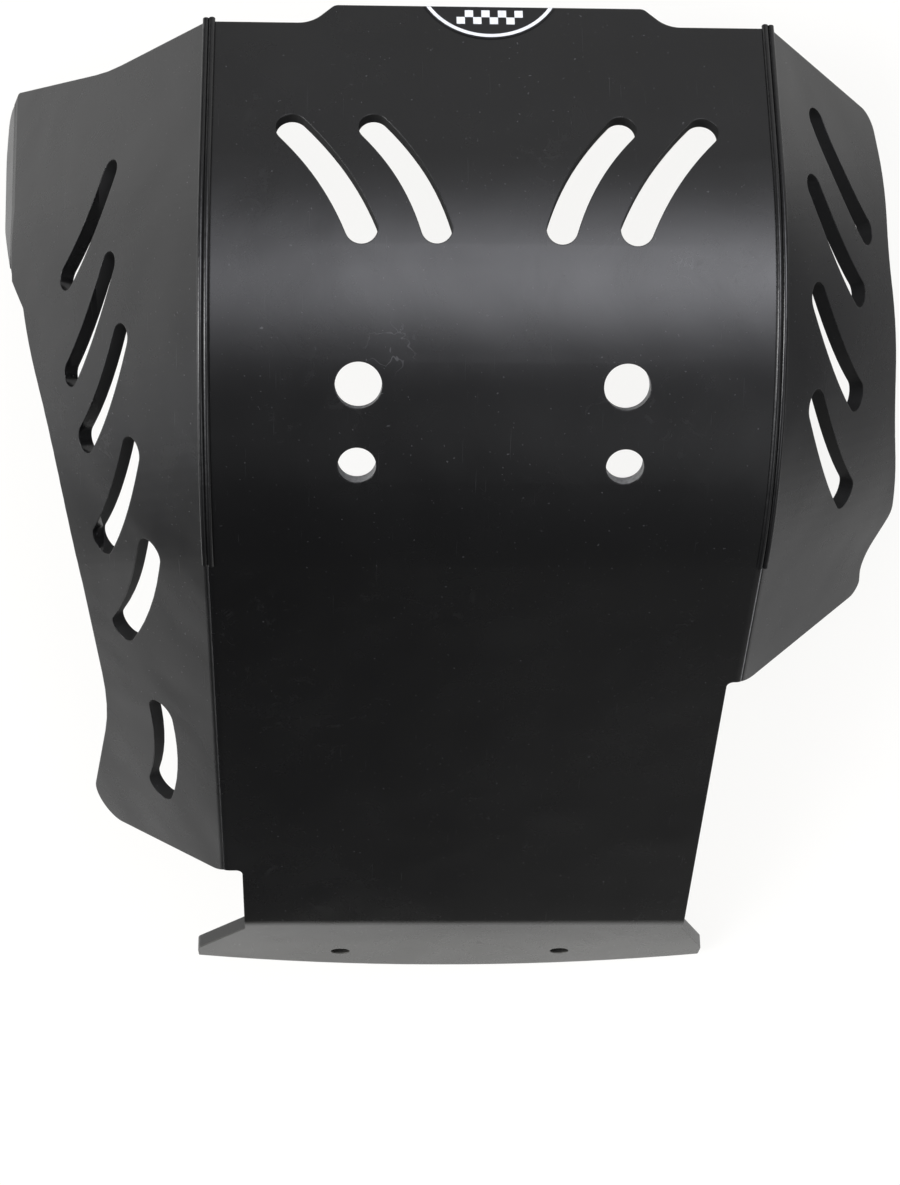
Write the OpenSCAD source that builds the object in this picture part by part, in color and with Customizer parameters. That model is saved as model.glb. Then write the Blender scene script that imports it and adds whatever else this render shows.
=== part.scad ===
// Motorcycle skid plate: one routed and heat-bent plastic sheet with two folded side wings.
// It lies outer side up, as it rests on a floor. +Y is the front of the bike, +X its right hand.

/* [Sheet] */
// thickness of the plastic sheet
sheet_t = 6.35; // [5:0.05:8]
// width of the strip between the two wing folds
strip_w = 230; // [210:1:250]
// width of the free base behind the wings
base_w = 215; // [190:1:226]
// sideways shift of the free base to the right
base_shift = 1.2; // [0:0.1:3]
// radius of the rounded outer corner along each wing fold
fold_r = 6; // [3:0.5:9]

/* [Profile] */
// length of the flat base from the flange bend to the front bend
base_len = 258.4; // [240:0.2:280]
// outer radius of the large front bend
bend_r = 142.7; // [125:0.1:160]
// angle of the large front bend
bend_angle = 72.3; // [66:0.1:78]
// length of the flat front section above the bend
front_len = 63.4; // [56:0.2:75]
// height of the raised tab on the front edge
tab_h = 9; // [4:0.5:14]
// width of the raised tab at its top
tab_w = 127; // [100:1:140]
// width of the tab at its foot
tab_foot_w = 146; // [142:1:170]

/* [Flange] */
// angle of the rear flange below the base
flange_angle = 18.3; // [12:0.1:26]
// outer radius of the flange bend
flange_r = 16; // [12:0.5:24]
// length of the flange on its centre line
flange_len = 76; // [68:0.5:84]
// length of the flange at its two ends
flange_end_len = 56; // [50:0.5:62]
// width of the flange across its ends
flange_w = 254; // [240:1:270]
// sideways shift of the flange to the left
flange_shift = 4.2; // [0:0.2:8]
// diameter of the two flange screw holes
flange_hole_d = 9.5; // [6:0.1:12]
// spacing of the two flange screw holes
flange_hole_gap = 111; // [90:1:130]
// distance of the screw holes from the flange bend
flange_hole_y = 50; // [42:0.5:56]

/* [Holes] */
// diameter of the two upper access holes
upper_hole_d = 18.8; // [12:0.1:24]
// spacing of the two upper access holes
upper_hole_gap = 107; // [80:1:130]
// distance of the upper holes along the sheet from the start of the front bend
upper_hole_s = 85.2; // [77:0.2:93]
// diameter of the two lower access holes
lower_hole_d = 15.4; // [10:0.1:20]
// spacing of the two lower access holes
lower_hole_gap = 107.8; // [80:0.2:130]
// distance of the lower holes along the sheet from the start of the front bend
lower_hole_s = 51.8; // [42:0.2:59]

/* [Vents] */
// width of the slots in the strip
vent_w = 12.8; // [9:0.1:16]
// length of the strip slots between the centres of their ends
vent_len = 51.5; // [35:0.5:58]
// distance of the strip slots along the sheet from the start of the front bend
vent_s = 170.3; // [162:0.2:177]
// sideways position of the outer strip slots
vent_out = 68.5; // [62:0.5:78]
// sideways position of the inner strip slots
vent_in = 36.7; // [26:0.1:42]
// sideways shift of all four strip slots to the right
vent_shift = 2.2; // [0:0.1:4]
// width of the slots in the two wings
wing_vent_w = 12.8; // [9:0.1:14]

/* [Wings] */
// how far the left wing leans outward, as a ratio
left_lean = 0.679; // [0.6:0.001:0.76]
// how far the left wing edges sweep to the rear
left_sweep = 50; // [46:0.5:54]
// how far the right wing leans outward, as a ratio
right_lean = 0.700; // [0.62:0.001:0.78]
// how far the right wing edges sweep to the rear
right_sweep = 36; // [32:0.5:40]
// distance of the left wing's rear end from the flange bend
left_rear_y = 44.5; // [40:0.5:60]
// distance of the right wing's rear end from the flange bend
right_rear_y = 185; // [180:0.5:200]

/* [Lip] */
// width of the bent lip on the left wing
lip_w = 20; // [16:0.5:22]
// distance from the fold to the lip's bend line, beside the end of the front bend
lip_rear_out = 164.3; // [162:0.1:166]
// distance from the fold to the lip's bend line, at its front end
lip_front_out = 168.6; // [167:0.1:170]
// angle by which the lip is bent inward
lip_angle = 16; // [10:1:24]

/* [Weld] */
// radius of each weld rod
rod_r = 1.35; // [1:0.05:1.6]
// spacing of the two weld rods
rod_gap = 2.4; // [2:0.05:2.9]
// length of weld that stands past the front edge
weld_past = 1.6; // [0.4:0.1:3]

/* [Decal] */
// radius of the round decal on the tab
decal_r = 31; // [24:0.5:36]
// height of the decal's centre above the tab
decal_up = 15; // [10:0.5:20]
// thickness of the decal film
decal_t = 0.4; // [0.2:0.05:0.8]

/* [Hidden] */
$fn = 48;
fold_x = strip_w/2;
base_x = base_w/2;
ca = cos(bend_angle);
sa = sin(bend_angle);
arc_len = bend_r*bend_angle*PI/180;
front_s = base_len + arc_len;
top_s = front_s + front_len;
far = 700;
// the bends are a hair thinner than the flats and lap into them, and the strip laps into the wings
hair = 0.01;
lap = 0.4;
side_x = fold_x + 0.3;

// pose in which the finished plate lies on a floor
rest_tilt = [22.533, 13.423, 5.501];
rest_shift = [53.483, -195.908, 68.784];

function unit(v) = v/norm(v);

// frame of the outer surface at a distance s along the sheet: point, forward, outward
function at_angle(s) = s <= base_len ? 0 : min((s - base_len)/bend_r*180/PI, bend_angle);
function past(s) = max(0, s - front_s);
function surf(s) = s <= base_len ? [0, s, 0] :
    [0, base_len + bend_r*sin(at_angle(s)) + past(s)*ca, -bend_r*(1 - cos(at_angle(s))) - past(s)*sa];
function fwd(s) = [0, cos(at_angle(s)), -sin(at_angle(s))];
function outw(s) = [0, sin(at_angle(s)), cos(at_angle(s))];

// wing surface: straight lines in one direction, starting on the strip's edge
function wing_dir(side, lean, sweep) = unit([side*lean, -sin(sweep), -cos(sweep)]);
function wing_normal(side, d, s) = side*unit(cross(d, fwd(s)));

// turns the local axes into the directions x, y, z given
module along(x, y, z) {
    rotate([atan2(y[2], z[2]), -asin(x[2]), atan2(x[1], x[0])]) children();
}

// lays a drawing on the outer surface at s, sideways x, with +Y to the front
module on_strip(s, x) {
    translate(surf(s) + [x, 0, 0]) rotate([-at_angle(s), 0, 0]) children();
}

// curved slot with round ends, from p to q, bowed sideways
module slot(p, q, bow, w) {
    l = norm(q - p);
    r = (l*l/4 + bow*bow)/(2*abs(bow));
    h = asin(l/2/r);
    side = bow > 0 ? 1 : -1;
    translate((p + q)/2) rotate(atan2(q[1] - p[1], q[0] - p[0]))
        translate([0, bow - side*r]) rotate(side > 0 ? 90 : -90) {
            for (e = [-1, 1]) rotate(e*h) translate([r, 0]) circle(d = w);
            difference() {
                circle(r = r + w/2, $fn = 180);
                circle(r = r - w/2, $fn = 180);
                for (e = [0, 1]) mirror([0, e]) rotate(h) translate([-far, 0]) square([2*far, far]);
            }
        }
}

// the same slot drawn as one outline, for cutting through the round bend
module slot_outline(p, q, bow, w) {
    l = norm(q - p);
    r = (l*l/4 + bow*bow)/(2*abs(bow));
    h = asin(l/2/r);
    side = bow > 0 ? 1 : -1;
    function on(a, k) = k*[cos(a), sin(a)];
    translate((p + q)/2) rotate(atan2(q[1] - p[1], q[0] - p[0]))
        translate([0, bow - side*r]) rotate(side > 0 ? 90 : -90)
            polygon(concat([for (k = [-6:6]) on(h*k/6, r + w/2)],
                [for (k = [1:17]) on(h, r) + on(h + k*10, w/2)],
                [for (k = [6:-1:-6]) on(h*k/6, r - w/2)],
                [for (k = [1:17]) on(-h, r) + on(180 - h + k*10, w/2)]));
}

// polygon with rounded corners, each corner given as x, y, radius
function trim(p, q, r) = let (a = [q[0] - p[0], q[1] - p[1]]) a/norm(a);
function corner(a, b, c) = let (
        u = trim(b, a), v = trim(b, c), r = b[2],
        half = acos(max(-1, min(1, u*v)))/2,
        reach = r/tan(half), mid = unit(u + v), o = [b[0], b[1]] + mid*r/sin(half),
        p = [b[0], b[1]] + u*reach - o, turn = (u[0]*v[1] - u[1]*v[0] > 0 ? -1 : 1)*(180 - 2*half),
        n = max(2, ceil(abs(turn)/6)))
    [for (k = [0:n]) let (t = turn*k/n) o + [p[0]*cos(t) - p[1]*sin(t), p[0]*sin(t) + p[1]*cos(t)]];
module rounded(pts) {
    n = len(pts);
    polygon([for (i = [0:n - 1]) each pts[i][2] > 0 ?
        corner(pts[(i + n - 1) % n], pts[i], pts[(i + 1) % n]) : [[pts[i][0], pts[i][1]]]]);
}

// outline of the flange, seen square on, +Y to the front
module flange_outline() {
    k = flange_w/2;
    e = flange_end_len;
    b = flange_len - e;
    r = (k*k + b*b)/(2*b);
    intersection() {
        translate([-flange_shift, r - flange_len]) circle(r = r, $fn = 360);
        rounded([[-k - flange_shift, -flange_len - 20, 0], [-k - flange_shift, -e + 12, 9],
            [base_shift - base_x, -8, 0], [base_shift - base_x, 1, 0], [base_shift + base_x, 1, 0],
            [base_shift + base_x, -8, 0], [k - flange_shift, -e + 12, 9],
            [k - flange_shift, -flange_len - 20, 0]]);
        translate([-flange_shift, 0]) rounded([[-k, 10, 0], [-k, -e - 2, 9], [-k + 30, -flange_len - 9, 0],
            [k - 30, -flange_len - 9, 0], [k, -e - 2, 9], [k, 10, 0]]);
    }
}

// the strip with its flange, flat base, front bend and flat front
module strip() {
    tn = flange_r*tan(flange_angle/2);
    // free base, then the full width between the wings, with small round inner corners
    translate([0, 0, -sheet_t]) linear_extrude(sheet_t)
        rounded([[base_shift - base_x, tn - lap/4, 0], [base_shift - base_x, left_rear_y, 3],
            [-side_x, left_rear_y, 0], [-side_x, base_len + lap, 0], [side_x, base_len + lap, 0],
            [side_x, right_rear_y, 0], [base_shift + base_x, right_rear_y, 3],
            [base_shift + base_x, tn - lap/4, 0]]);
    // front bend
    translate([0, base_len, -bend_r]) rotate([90, 0, 90]) rotate([0, 0, 90 - bend_angle])
        rotate_extrude(angle = bend_angle, $fn = 240)
            translate([bend_r - sheet_t + hair, hair - side_x])
                square([sheet_t - 2*hair, 2*side_x - 2*hair]);
    // flat front with the tab
    on_strip(front_s, 0) translate([0, 0, -sheet_t]) linear_extrude(sheet_t)
        rounded([[-side_x, -lap, 0], [-side_x, front_len, 0], [-tab_foot_w/2, front_len, 14],
            [-tab_w/2, front_len + tab_h, 4], [tab_w/2, front_len + tab_h, 4],
            [tab_foot_w/2, front_len, 14], [side_x, front_len, 0], [side_x, -lap, 0]]);
    // rear bend and flange
    translate([0, tn, -flange_r]) rotate([90, 0, 90]) rotate([0, 0, 90])
        rotate_extrude(angle = flange_angle, $fn = 180)
            translate([flange_r - sheet_t + hair, base_shift - base_x + hair])
                square([sheet_t - 2*hair, base_w - 2*hair]);
    rotate([flange_angle, 0, 0]) translate([0, 0, -sheet_t])
        linear_extrude(sheet_t) intersection() {
            flange_outline();
            translate([-far/2, -far - tn + lap/4]) square([far, far]);
        }
}

// everything outside the plane of one of the strip's sides
module beside(side) {
    translate([side > 0 ? fold_x : -fold_x - far, -far, -far]) cube([far, 2*far, 2*far]);
}

// bent sheet as a long extrusion along d, from a line that lies w away from the strip's edge along the
// wing's own direction v
module wing_sheet(side, d, v = [0, 0, 0], w0 = 0, w1 = 0) {
    m = wing_normal(side, d, base_len + arc_len/2);
    ex = cross(d, m);
    function flat(v) = [v*ex, -v*m];
    function out(s) = w0 == 0 ? 0 : w0 + (s > front_s ? (w1 - w0)*(s - front_s)/front_len : (s - front_s)*0.02);
    function edge(s) = surf(s) + [side*fold_x, 0, 0] + out(s)*v;
    ss = concat([-90], [for (i = [0:28]) base_len + arc_len*i/28], [top_s + 60]);
    along(ex, -m, d) translate([0, 0, -far]) linear_extrude(2*far)
        polygon(concat([for (s = ss) flat(edge(s))],
            [for (i = [len(ss) - 1:-1:0]) flat(edge(ss[i]) - sheet_t*wing_normal(side, d, ss[i]))]));
}

// cutter that rounds the outer corner of a fold beside the flat base
module fold_round(side, d, rear_y) {
    n = wing_normal(side, d, 0);
    turn = acos(n[2]);
    x = fold_x - fold_r*tan(turn/2);
    function on(k, r) = [x + r*sin(turn*k/6), r*cos(turn*k/6) - fold_r];
    function past_end(p, q) = p + (p - q)*0.6;
    mirror([side > 0 ? 0 : 1, 0, 0]) translate([0, base_len + 2, 0]) rotate([90, 0, 0])
        linear_extrude(base_len + 12 - rear_y)
            polygon(concat([on(0, fold_r + 4), past_end(on(0, fold_r), on(1, fold_r))],
                [for (k = [1:5]) on(k, fold_r)],
                [past_end(on(6, fold_r), on(5, fold_r)), on(6, fold_r + 4)]));
}

// place of the front bend's start in a wing's drawing
function bend_start(side, d, rear_y) = let (m = wing_normal(side, d, base_len + arc_len/2), ex = cross(d, m))
    (base_len - rear_y)*[-side*ex[1], d[1]];

// points of a drawing moved by o, each with its corner radius
function moved(o, pts) = [for (p = pts) [p[0] + o[0], p[1] + o[1], p[2]]];

// cutter for a wing's outline: drawn square to the middle of the wing, from the fold's rear end,
// with +X to the front along the fold and +Y outward
module wing_outline(side, d, rear_y) {
    m = wing_normal(side, d, base_len + arc_len/2);
    translate([side*fold_x, rear_y, 0]) along(cross(d, m), d, m) mirror([side > 0 ? 1 : 0, 0, 0])
        translate([0, 0, -far]) linear_extrude(2*far) children();
}

// slots in a wing: distance along the sheet from the start of the front bend, distance out, length,
// angle to the front, bow, extra width
module wing_vents(side, d, list) {
    for (v = list) {
        s = base_len + v[0];
        n = wing_normal(side, d, s);
        translate(surf(s) + [side*fold_x, 0, 0] + v[1]*d) along(cross(d, n), d, n)
            mirror([side > 0 ? 1 : 0, 0, 0]) translate([0, 0, -30]) linear_extrude(45)
                slot(v[2]/2*[-cos(v[3]), -sin(v[3])], v[2]/2*[cos(v[3]), sin(v[3])], v[4], wing_vent_w + v[5]);
    }
}

module left_wing() {
    d = wing_dir(-1, left_lean, left_sweep);
    o = bend_start(-1, d, left_rear_y);
    difference() {
        intersection() {
            wing_sheet(-1, d);
            beside(-1);
            wing_outline(-1, d, left_rear_y) rounded(concat(
                [[0.4, -40, 0], [0.4, 6, 20], [29, 97, 12], [84, 18, 120]],
                moved(o, [[38.2, 82, 100], [119.7, 110.3, 6], [132.9, 122.7, 0], [165.2, 131, 0],
                    [222, 155.4, 1.5], [215.5, 67.5, 150], [221.6, -13.5, 0], [221.6, -124.5, 0],
                    [1.2, -124.5, 0]])));
        }
        wing_vents(-1, d, [[162.6, 96, 49, 149, 3.7, -0.8], [120.6, 93.4, 54, 142, 3.1, -1.6],
            [90.2, 82, 55, 135.5, 3.3, -0.6], [41.2, 73.6, 60, 128, 3, 0.2],
            [-13, 60.8, 69, 122.6, 2.8, 0.7], [-124.2, 50, 58, 136.5, 3.4, 2.4]]);
    }
    left_lip(d, o);
}

// lip on the left wing's outer edge beside the front, bent inward in two steps
module left_lip(d, o) {
    n = wing_normal(-1, d, front_s);
    for (k = [1, 2]) {
        a = lip_angle*k/2;
        e = unit(cos(a)*d - sin(a)*n);
        intersection() {
            translate(-0.1*k*n + (k - 1)*4*unit(cos(a/2)*d - sin(a/2)*n))
                wing_sheet(-1, e, d, lip_rear_out, lip_front_out);
            wing_outline(-1, d, left_rear_y) rounded(moved(o, k == 1 ?
                [[133.8, 122.2, 0], [165.2, 130.3, 0], [221.4, 154.4, 0], [217.2, 158, 0],
                    [165.2, 134.9, 0], [140, 126.6, 0]] :
                [[138.9, 126.5, 0], [165.2, 134.4, 0], [217.4, 156.5, 0], [214.2, 147 + lip_w, 8],
                    [193.2, 143.3 + lip_w, 40], [158.2, 126.5 + lip_w, 22]]));
        }
    }
}

module right_wing() {
    d = wing_dir(1, right_lean, right_sweep);
    o = bend_start(1, d, right_rear_y);
    difference() {
        intersection() {
            wing_sheet(1, d);
            beside(1);
            wing_outline(1, d, right_rear_y) rounded(concat([[0.4, -40, 0], [0.4, 8, 20]],
                moved(o, [[-33.9, 133.4, 5], [-16.4, 117.4, 14], [5.6, 128.9, 7], [54.6, 96.9, 90],
                    [125.6, 86.4, 60], [183.6, 104.4, 9], [219.6, 32.4, 0],
                    [219.6, -84.6, 0], [40.6, -164.6, 0]])));
        }
        wing_vents(1, d, [[169.6, 61.8, 52, 158, 4.2, -0.7], [140.8, 54.4, 53.6, 147.8, 3.7, -0.7],
            [96, 55.7, 59, 138.2, 3.4, 0.9], [51.4, 55.6, 66, 132.5, 2.9, 1.4]]);
    }
}

// section of the weld: two rods side by side, half sunk in the corner, at a radius r from the bend centre
module weld_section(side, r, less) {
    translate([r - 0.3, side*(fold_x - 1.5)]) circle(r = rod_r - less, $fn = 24);
    translate([r - 0.7, side*(fold_x - 1.5 + rod_gap)]) circle(r = rod_r - less, $fn = 24);
}

// weld along one seam, from the cut's end to the front edge
module weld(side) {
    translate([0, base_len, -bend_r]) rotate([90, 0, 90]) rotate([0, 0, 90 - bend_angle])
        rotate_extrude(angle = bend_angle - 0.4, $fn = 240) weld_section(side, bend_r, 2*hair);
    on_strip(front_s, 0) translate([0, -2*lap, 0]) rotate([-90, -90, 0])
        linear_extrude(front_len + 2*lap + weld_past) weld_section(side, 0, 0);
}

module plate_body() {
    difference() {
        union() {
            difference() { strip(); weld(-1); weld(1); }
            difference() { left_wing(); weld(-1); }
            difference() { right_wing(); weld(1); }
        }
        fold_round(-1, wing_dir(-1, left_lean, left_sweep), left_rear_y);
        fold_round(1, wing_dir(1, right_lean, right_sweep), right_rear_y);
        // access holes
        for (m = [-1, 1]) {
            on_strip(base_len + upper_hole_s, m*upper_hole_gap/2) cylinder(d = upper_hole_d, h = 60, center = true);
            on_strip(base_len + lower_hole_s, m*lower_hole_gap/2) cylinder(d = lower_hole_d, h = 60, center = true);
            rotate([flange_angle, 0, 0]) translate([m*flange_hole_gap/2 - flange_shift, -flange_hole_y, 0])
                cylinder(d = flange_hole_d, h = 40, center = true);
            // curved slots beside the centre line
            on_strip(base_len + vent_s, vent_shift) translate([0, 0, -30]) linear_extrude(60) {
                slot_outline([m*(vent_out + vent_len*0.272), vent_len*0.425],
                    [m*(vent_out - vent_len*0.266), -vent_len*0.43], -m*vent_len*0.045, vent_w + 0.4);
                slot_outline([m*(vent_in + vent_len*0.252), vent_len*0.44],
                    [m*(vent_in - vent_len*0.229), -vent_len*0.43], -m*vent_len*0.054, vent_w - 0.3);
            }
        }
    }
}

module rest() {
    translate(rest_shift) rotate(rest_tilt) children();
}

module plate() {
    color([0.06, 0.06, 0.065]) rest() plate_body();
}

module left_weld_bead() {
    color([0.1, 0.1, 0.1]) rest() weld(-1);
}

module right_weld_bead() {
    color([0.1, 0.1, 0.1]) rest() weld(1);
}

module decal() {
    color([0.9, 0.9, 0.9]) rest() on_strip(front_s, 0) linear_extrude(decal_t) intersection() {
        translate([0, front_len + tab_h + decal_up]) circle(r = decal_r, $fn = 96);
        translate([-tab_w/2, 0]) square([tab_w, front_len + tab_h - decal_t]);
    }
}

plate();
left_weld_bead();
right_weld_bead();
decal();
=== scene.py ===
import math

import bpy
from mathutils import Matrix, Vector

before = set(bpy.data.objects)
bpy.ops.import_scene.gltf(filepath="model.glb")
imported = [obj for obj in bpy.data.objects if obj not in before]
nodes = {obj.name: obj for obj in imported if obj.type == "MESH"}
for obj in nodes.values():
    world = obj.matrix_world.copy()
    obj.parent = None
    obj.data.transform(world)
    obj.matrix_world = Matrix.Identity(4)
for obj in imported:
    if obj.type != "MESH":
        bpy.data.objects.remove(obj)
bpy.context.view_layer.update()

# how the plate's own drawing lies on the floor, in degrees and millimetres
REST_TILT = (22.533, 13.423, 5.501)
REST_SHIFT = (53.483, -195.908, 68.784)

# the sheet in that drawing, in metres: length of the flat base, the bend's radius and angle, half the width
# between the folds, where the left wing's lip begins, the thickness, and the fall of the rear flange
BASE_LEN, BEND_R, BEND_ANGLE = 0.2584, 0.1427, math.radians(72.3)
FOLD_X, LIP_X, SHEET = 0.115, -0.1635, 0.00635
FLANGE_FALL = math.tan(math.radians(18.3))
# how far a wing runs back and down for each metre that it runs out
LEFT_BACK, LEFT_DOWN = 1.1274, 0.9461
RIGHT_BACK, RIGHT_DOWN = 0.8394, 1.1553
# how far along the bend the drilled holes reach, and the pitch of the cutter's marks on the cut walls
BORED_END = 0.36 - BASE_LEN
CUTTER_PITCH = 0.00085

# the decal's centre in the drawing, the slope of the tab that it lies on, and its printed lines
DECAL_CENTRE = (0, 0.42092, -0.18258)
TAB_ALONG, TAB_DOWN = 0.3040, 0.9527
BORDER_IN, BORDER_OUT = 0.0287, 0.0302
CHECK, BAND_HALF, BAND_LOW, BAND_HIGH = 0.0034, 0.0136, -0.0238, -0.0170

# the floor, how far it lies under the part, and how far out the paper reaches
FLOOR_SIZE, FLOOR_DROP, SHEET_REACH = 14, 0.0005, 3.0
# painted shade in the floor's glow as the plate's gloss sees it: x, y, inner and outer radius, the level
# within the inner radius and the level beyond the outer one
PAINTED_SHADE_SPOTS = (
    (0.42, 0.16, 0.10, 0.245, 0.0, 1.0),
    (-2.2, -1.4, 1.2, 1.75, 0.0, 1.0),
    (0.60, 0.0, 0.38, 0.50, 0.47, 0.77),
    (0.02, -0.33, 0.02, 0.17, 0.82, 1.0),
    (0.0, 0.10, 0.09, 0.17, 0.0, 1.0),
    (-0.98, -0.60, 0.12, 0.36, 0.60, 1.0),
    (-0.44, -0.72, 0.05, 0.25, 0.70, 1.0),
    (0.27, -0.06, 0.02, 0.09, 0.72, 1.0),
)

# soft studio light: each is a large soft light in a direction, given by its bearing from +Y towards +X,
# its height in degrees, its level, how narrow it is, and its tint
COOL, NEUTRAL, WARM = (0.98, 0.99, 1.02), (1, 1, 1), (1.0, 0.99, 0.95)
BLUISH = (0.965, 0.97, 1.035)
SOFT_LIGHTS = (
    (28, 43, 6.4, 20, BLUISH),
    (12, 27, 0.7, 30, BLUISH),
    (0, 4, 0.57, 12, NEUTRAL),
    (105, 46, 2.0, 22, COOL),
    (140, 27, 0.3, 30, COOL),
    (-92, 45, 3.6, 12, COOL),
    (-75, 48, 15.0, 60, NEUTRAL),
    (-103, 1, 3.0, 30, COOL),
    (157, 5, 0.25, 40, WARM),
)
AMBIENT = (0.025, 0.025, 0.025)

CAMERA_LENS, CAMERA_REACH = 77.67, 50
CAMERA_PLACE = (0.17267, 0.50759, 1.10783)
CAMERA_ROWS = ((0.97371, -0.19054, 0.12481), (0.11590, 0.88616, 0.44864), (-0.19608, -0.42238, 0.88495))


class Graph:
    """A node tree and short calls that add to it."""

    def __init__(self, tree):
        self.tree = tree

    def link(self, a, b):
        self.tree.links.new(a, b)

    def node(self, kind, **props):
        n = self.tree.nodes.new(kind)
        for k, v in props.items():
            setattr(n, k, v)
        return n

    def put(self, socket, value):
        if isinstance(value, bpy.types.NodeSocket):
            self.link(value, socket)
        else:
            socket.default_value = value

    def math(self, op, a, b=0.0):
        n = self.node("ShaderNodeMath", operation=op)
        self.put(n.inputs[0], a)
        self.put(n.inputs[1], b)
        return n.outputs[0]

    def add(self, a, b):
        return self.math("ADD", a, b)

    def less(self, a, b):
        return self.math("SUBTRACT", a, b)

    def times(self, a, b):
        return self.math("MULTIPLY", a, b)

    def under(self, a, b):
        return self.math("LESS_THAN", a, b)

    def over(self, a, b):
        return self.math("GREATER_THAN", a, b)

    def larger(self, a, b):
        return self.math("MAXIMUM", a, b)

    def length(self, a, b):
        return self.math("SQRT", self.add(self.times(a, a), self.times(b, b)))

    def vector(self, op, a, b):
        n = self.node("ShaderNodeVectorMath", operation=op)
        self.put(n.inputs[0], a)
        self.put(n.inputs[3 if op == "SCALE" else 1], b)
        return n

    def split(self, vector):
        n = self.node("ShaderNodeSeparateXYZ")
        self.link(vector, n.inputs[0])
        return n.outputs

    def fade(self, value, zero_at, one_at):
        """0 to 1 in a smooth step between two values."""
        n = self.node("ShaderNodeMapRange", interpolation_type="SMOOTHSTEP")
        self.link(value, n.inputs["Value"])
        n.inputs["From Min"].default_value = zero_at
        n.inputs["From Max"].default_value = one_at
        return n.outputs["Result"]

    def noise(self, scale, detail, rough, place, distort=0.0):
        n = self.node("ShaderNodeTexNoise")
        self.put(n.inputs["Vector"], place)
        n.inputs["Scale"].default_value = scale
        n.inputs["Detail"].default_value = detail
        n.inputs["Roughness"].default_value = rough
        n.inputs["Distortion"].default_value = distort
        return n.outputs["Fac"]

    def ramp(self, value, *stops):
        n = self.node("ShaderNodeValToRGB")
        self.put(n.inputs[0], value)
        e = n.color_ramp.elements
        while len(e) < len(stops):
            e.new(0.5)
        for i, (place, level) in enumerate(stops):
            e[i].position = place
            e[i].color = (level, level, level, 1)
        return n.outputs[0]

    def mix(self, share, a, b):
        n = self.node("ShaderNodeMix", data_type="RGBA")
        self.put(n.inputs[0], share)
        for k, v in ((6, a), (7, b)):
            self.put(n.inputs[k], v if isinstance(v, bpy.types.NodeSocket) else (*v, 1))
        return n.outputs[2]

    def bump(self, height, strength, distance, normal=None):
        n = self.node("ShaderNodeBump")
        n.inputs["Strength"].default_value = strength
        n.inputs["Distance"].default_value = distance
        self.put(n.inputs["Height"], height)
        if normal:
            self.put(n.inputs["Normal"], normal)
        return n.outputs[0]


class Surface(Graph):
    """A material with one shader, and the place of each point on the object and in the plate's drawing."""

    def __init__(self, name):
        self.mat = bpy.data.materials.new(name)
        self.mat.use_nodes = True
        super().__init__(self.mat.node_tree)
        self.tree.nodes.clear()
        self.out = self.node("ShaderNodeOutputMaterial")
        self.bsdf = self.node("ShaderNodeBsdfPrincipled")
        self.link(self.bsdf.outputs[0], self.out.inputs[0])
        self.pos = self.node("ShaderNodeTexCoord").outputs["Object"]

    def drawing_space(self):
        """Position in the plate's own drawing, before it was laid on the floor."""
        n = self.node("ShaderNodeMapping", vector_type="TEXTURE")
        self.link(self.pos, n.inputs["Vector"])
        n.inputs["Location"].default_value = Vector(REST_SHIFT) / 1000
        n.inputs["Rotation"].default_value = [math.radians(a) for a in REST_TILT]
        return n.outputs[0]

    def streaks(self, flat, turn, along, across, low, high):
        """Sparse straight hair scratches in one direction."""
        n = self.node("ShaderNodeMapping")
        self.link(flat, n.inputs["Vector"])
        n.inputs["Rotation"].default_value = (0, 0, turn)
        n.inputs["Scale"].default_value = (across, along, along)
        return self.ramp(self.noise(1.0, 2, 0.5, n.outputs[0]), (0.0, 0.0), (low, 0.0), (high, 1.0))

    def patch(self, flat, centre, inner, outer):
        """1 around a point of the drawing, fading to 0 at the outer distance."""
        return self.fade(self.vector("DISTANCE", flat, centre).outputs["Value"], outer, inner)

    def paint(self, colour, roughness, normal=None):
        self.put(self.bsdf.inputs["Base Color"], colour)
        self.put(self.bsdf.inputs["Roughness"], roughness)
        if normal:
            self.put(self.bsdf.inputs["Normal"], normal)


def sheet_depth(g, flat):
    """Distance from the bend's axis square to the sheet, and the place along the plate from the start of
    the bend. A point of a wing is first moved back along the wing's slope to its fold."""
    x, y, z = g.split(flat)
    past = g.larger(g.less(g.math("ABSOLUTE", x), FOLD_X), 0.0)
    left = g.under(x, 0.0)
    back = g.add(RIGHT_BACK, g.times(left, LEFT_BACK - RIGHT_BACK))
    down = g.add(RIGHT_DOWN, g.times(left, LEFT_DOWN - RIGHT_DOWN))
    along = g.add(g.less(y, BASE_LEN), g.times(past, back))
    up = g.add(g.add(z, BEND_R), g.times(past, down))
    angle = g.math("ARCTAN2", along, up)
    held = g.math("MINIMUM", g.larger(angle, 0.0), BEND_ANGLE)
    return g.times(g.length(along, up), g.math("COSINE", g.less(angle, held))), along


def plate_marks(g, flat):
    """Specks, hair scratches and the two curled rub marks, as one mask, and the scratches alone."""
    speck = g.ramp(g.noise(760, 1, 0.4, flat), (0.0, 0.0), (0.765, 0.0), (0.785, 1.0))
    hair = g.larger(g.streaks(flat, 0.5, 26, 2600, 0.74, 0.80), g.streaks(flat, -0.9, 34, 2400, 0.75, 0.81))
    curl = g.math("ABSOLUTE", g.less(g.noise(130, 2, 0.5, flat, 0.8), 0.5))
    rub = g.times(g.larger(g.patch(flat, (-0.041, 0.3505, -0.0337), 0.004, 0.013),
                           g.patch(flat, (0.077, 0.3733, -0.0581), 0.002, 0.009)),
                  g.ramp(curl, (0.0, 1.0), (0.010, 0.9), (0.022, 0.0)))
    return g.larger(g.times(speck, 0.8), g.larger(g.times(hair, 0.4), g.times(rub, 0.75))), hair


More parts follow.
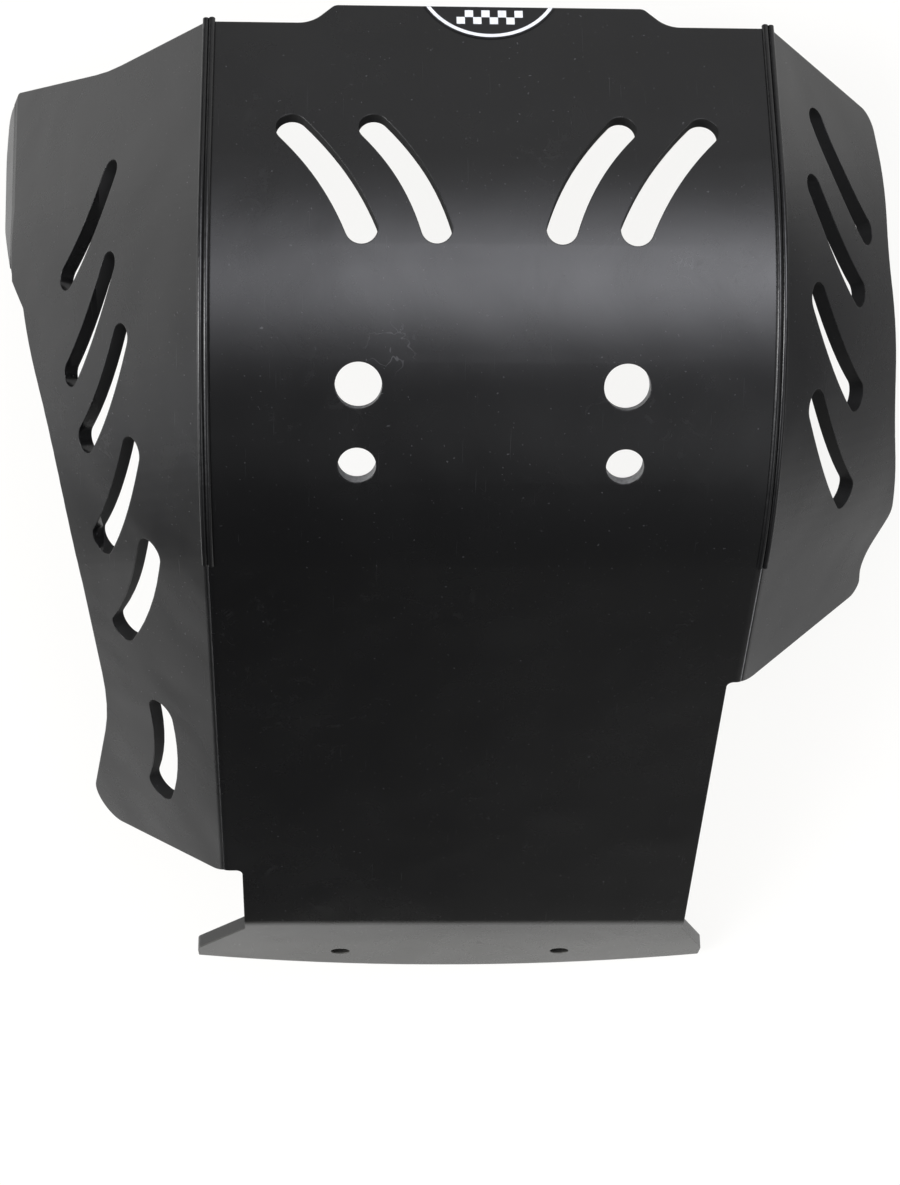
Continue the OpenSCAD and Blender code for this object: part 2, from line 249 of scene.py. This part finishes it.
def plate_plastic():
    """Satin black sheet with smears and scratches and a hazy gloss; painted shade on the cut walls, a painted
    reflection in the drilled holes and a painted sheen on the paler flange.
    """
    g = Surface("plate_plastic")
    flat = g.drawing_space()
    x, y, z = g.split(flat)
    cloud = g.noise(7, 4, 0.5, flat)
    haze = g.noise(38, 5, 0.62, flat, 0.6)
    grain = g.noise(1500, 3, 0.6, flat)
    smear = g.times(g.ramp(g.noise(95, 4, 0.7, flat, 1.2), (0.0, 0.0), (0.58, 0.0), (0.72, 1.0)),
                    g.ramp(g.noise(16, 2, 0.5, flat), (0.0, 0.0), (0.5, 0.0), (0.62, 1.0)))
    marks, hair = plate_marks(g, flat)

    # walls of slots and holes: points under the outer face, which on the strip are over the inner face too
    depth, along = sheet_depth(g, flat)
    strip = g.under(g.math("ABSOLUTE", x), FOLD_X - 0.0002)
    lowest = g.less(BEND_R - 2 * SHEET, g.times(strip, 0.0003 - SHEET))
    wall = g.times(g.under(depth, BEND_R - 0.0004), g.over(depth, lowest))
    cut = g.times(g.times(wall, g.over(x, LIP_X)), g.over(along, 0.006 - BASE_LEN))
    bored = g.times(strip, g.under(along, BORED_END))
    # painted sheen: the flange's outer face and the end of the base are painted paler and warmer in place of
    # the floor's reflection, with the walls of its holes darker
    on_top = g.over(g.less(z, g.times(y, FLANGE_FALL)), -0.0006)
    flange_painted_sheen = g.times(g.fade(along, 0.030 - BASE_LEN, -0.050 - BASE_LEN), g.add(0.25, g.times(on_top, 0.75)))

    colour = g.mix(g.ramp(cloud, (0.35, 0.0), (0.7, 1.0)), (0.0040, 0.0040, 0.0042), (0.0056, 0.0056, 0.0058))
    # painted sheen: pale warm colour over the flange
    colour = g.mix(flange_painted_sheen, colour, (0.060, 0.0590, 0.0520))
    colour = g.mix(g.times(smear, 0.35), colour, (0.014, 0.014, 0.0143))
    # painted shade: the cut walls of the slots are painted darker than the sheet
    colour = g.mix(cut, colour, (0.0020, 0.0020, 0.0020))
    # painted reflection: the drilled hole walls on the strip are painted light grey, with a noisy tone
    colour = g.mix(g.times(cut, bored), colour, g.ramp(g.noise(700, 3, 0.6, flat), (0.3, 0.12), (0.7, 0.26)))
    colour = g.mix(marks, colour, (0.052, 0.052, 0.055))

    rough = g.add(0.265, g.times(g.less(cloud, 0.5), 0.10))
    rough = g.add(rough, g.times(g.less(haze, 0.5), 0.10))
    rough = g.add(rough, g.times(smear, 0.07))
    rough = g.add(rough, g.times(cut, g.less(0.45, g.times(bored, 0.3))))
    rough = g.add(rough, g.times(marks, 0.10))

    soft = g.node("ShaderNodeBevel", samples=4)
    soft.inputs["Radius"].default_value = 0.0006
    cutter = g.times(cut, g.math("SINE", g.times(depth, 2 * math.pi / CUTTER_PITCH)))
    normal = g.bump(cutter, 0.35, 0.0001, soft.outputs[0])
    normal = g.bump(g.noise(11, 2, 0.45, flat, 0.3), 0.42, 0.004, normal)
    normal = g.bump(haze, 0.06, 0.001, normal)
    normal = g.bump(g.less(grain, g.times(hair, 1.5)), 0.06, 0.0001, normal)
    g.paint(colour, rough, normal)
    return g.mat


def weld_plastic():
    """Extruded welding rod: glossier than the sheet, with slight waves along its length."""
    g = Surface("weld_plastic")
    flat = g.drawing_space()
    wave = g.noise(90, 3, 0.5, flat, 0.4)
    ripple = g.noise(650, 2, 0.5, flat)
    colour = g.mix(wave, (0.0040, 0.0040, 0.0041), (0.0075, 0.0075, 0.0077))
    rough = g.add(0.15, g.times(g.noise(45, 4, 0.6, flat), 0.18))
    g.paint(colour, rough, g.bump(ripple, 0.25, 0.0002, g.bump(wave, 0.45, 0.0009)))
    return g.mat


def decal_film():
    """Gloss black film with a thin pale border and a small chequer band."""
    g = Surface("decal_film")
    flat = g.drawing_space()
    u, along, up = g.split(g.vector("SUBTRACT", flat, DECAL_CENTRE).outputs[0])
    v = g.less(g.times(along, TAB_ALONG), g.times(up, TAB_DOWN))
    r = g.length(u, v)
    border = g.times(g.over(r, BORDER_IN), g.under(r, BORDER_OUT))
    column = g.math("FLOOR", g.times(u, 1 / CHECK))
    row = g.math("FLOOR", g.times(v, 1 / CHECK))
    odd = g.over(g.math("FLOORED_MODULO", g.add(column, row), 2.0), 0.5)
    band = g.times(g.under(g.math("ABSOLUTE", u), BAND_HALF),
                   g.times(g.over(v, BAND_LOW), g.under(v, BAND_HIGH)))
    wear = g.ramp(g.noise(240, 4, 0.6, flat), (0.3, 0.86), (0.6, 1.0))
    pale = g.times(g.larger(border, g.times(odd, band)), wear)
    g.paint(g.mix(pale, (0.006, 0.006, 0.007), (0.78, 0.79, 0.82)),
            g.add(0.14, g.times(g.noise(90, 3, 0.5, flat), 0.1)))
    return g.mat


def floor_paper():
    """White paper near the part and a grey studio floor far away, which the camera sees as white. The
    plate's gloss sees the paper glowing, with painted shade at a few spots."""
    g = Surface("floor_paper")
    away = g.vector("LENGTH", g.pos, (0, 0, 0)).outputs["Value"]
    paper = g.ramp(g.times(away, 0.5), (0.0, 0.94), (0.44, 0.94), (0.58, 0.10))
    g.paint(g.mix(g.times(g.noise(3, 3, 0.5, g.pos), 0.04), paper, (0.9, 0.9, 0.9)), 0.9)
    g.bsdf.inputs["Specular IOR Level"].default_value = 0.0

    def spot(x, y, inner, outer):
        """0 around a point of the floor, fading to 1 at the outer distance."""
        return g.fade(g.vector("DISTANCE", g.pos, (x, y, 0)).outputs["Value"], inner, outer)

    glow_for_gloss = g.under(away, SHEET_REACH)
    # painted shade: the glow that the plate's gloss sees is dimmed at each listed spot
    for x, y, inner, outer, low, high in PAINTED_SHADE_SPOTS:
        glow_for_gloss = g.times(glow_for_gloss, g.add(low, g.times(high - low, spot(x, y, inner, outer))))
    path = g.node("ShaderNodeLightPath")
    seen, gloss = path.outputs["Is Camera Ray"], path.outputs["Is Glossy Ray"]
    glow = g.node("ShaderNodeEmission")
    glow.inputs[0].default_value = (1.0, 0.995, 0.98, 1)
    g.put(glow.inputs[1], g.add(seen, g.times(gloss, glow_for_gloss)))
    shown = g.node("ShaderNodeMixShader")
    g.put(shown.inputs[0], g.add(g.times(seen, 0.9), g.times(gloss, 0.86)))
    g.link(g.bsdf.outputs[0], shown.inputs[1])
    g.link(glow.outputs[0], shown.inputs[2])
    g.link(shown.outputs[0], g.out.inputs[0])
    return g.mat


def studio_world():
    """The soft lights over a faint even light. The camera sees plain white instead."""
    world = bpy.data.worlds.new("studio")
    world.use_nodes = True
    bpy.context.scene.world = world
    g = Graph(world.node_tree)
    aim = g.node("ShaderNodeTexCoord").outputs["Generated"]
    total = AMBIENT
    for bearing, height, level, narrow, tint in SOFT_LIGHTS:
        a, e = math.radians(bearing), math.radians(height)
        way = (math.sin(a) * math.cos(e), math.cos(a) * math.cos(e), math.sin(e))
        facing = g.vector("DOT_PRODUCT", aim, way).outputs["Value"]
        fall = g.math("EXPONENT", g.times(g.less(facing, 1.0), narrow))
        light = g.vector("SCALE", tint, g.times(fall, level)).outputs[0]
        total = g.vector("ADD", light, total).outputs[0]
    seen = g.node("ShaderNodeLightPath").outputs["Is Camera Ray"]
    g.link(g.mix(seen, total, (1, 1, 1)), world.node_tree.nodes["Background"].inputs[0])


def photo_camera():
    """Camera at the photograph's viewing angle."""
    cam = bpy.data.objects.new("camera", bpy.data.cameras.new("camera"))
    bpy.context.collection.objects.link(cam)
    cam.data.lens = CAMERA_LENS
    cam.data.clip_end = CAMERA_REACH
    cam.matrix_world = Matrix.Translation(CAMERA_PLACE) @ Matrix(CAMERA_ROWS).to_4x4()
    bpy.context.scene.camera = cam


def dress(name, mat):
    materials = nodes[name].data.materials
    materials.clear()
    materials.append(mat)


dress("plate", plate_plastic())
weld_mat = weld_plastic()
dress("left_weld_bead", weld_mat)
dress("right_weld_bead", weld_mat)
dress("decal", decal_film())

bpy.ops.mesh.primitive_plane_add(size=FLOOR_SIZE, location=(0, 0, -FLOOR_DROP))
floor = bpy.context.object
floor.name = "floor"
floor.data.materials.append(floor_paper())

studio_world()
photo_camera()
bpy.context.scene.view_settings.view_transform = "Standard"
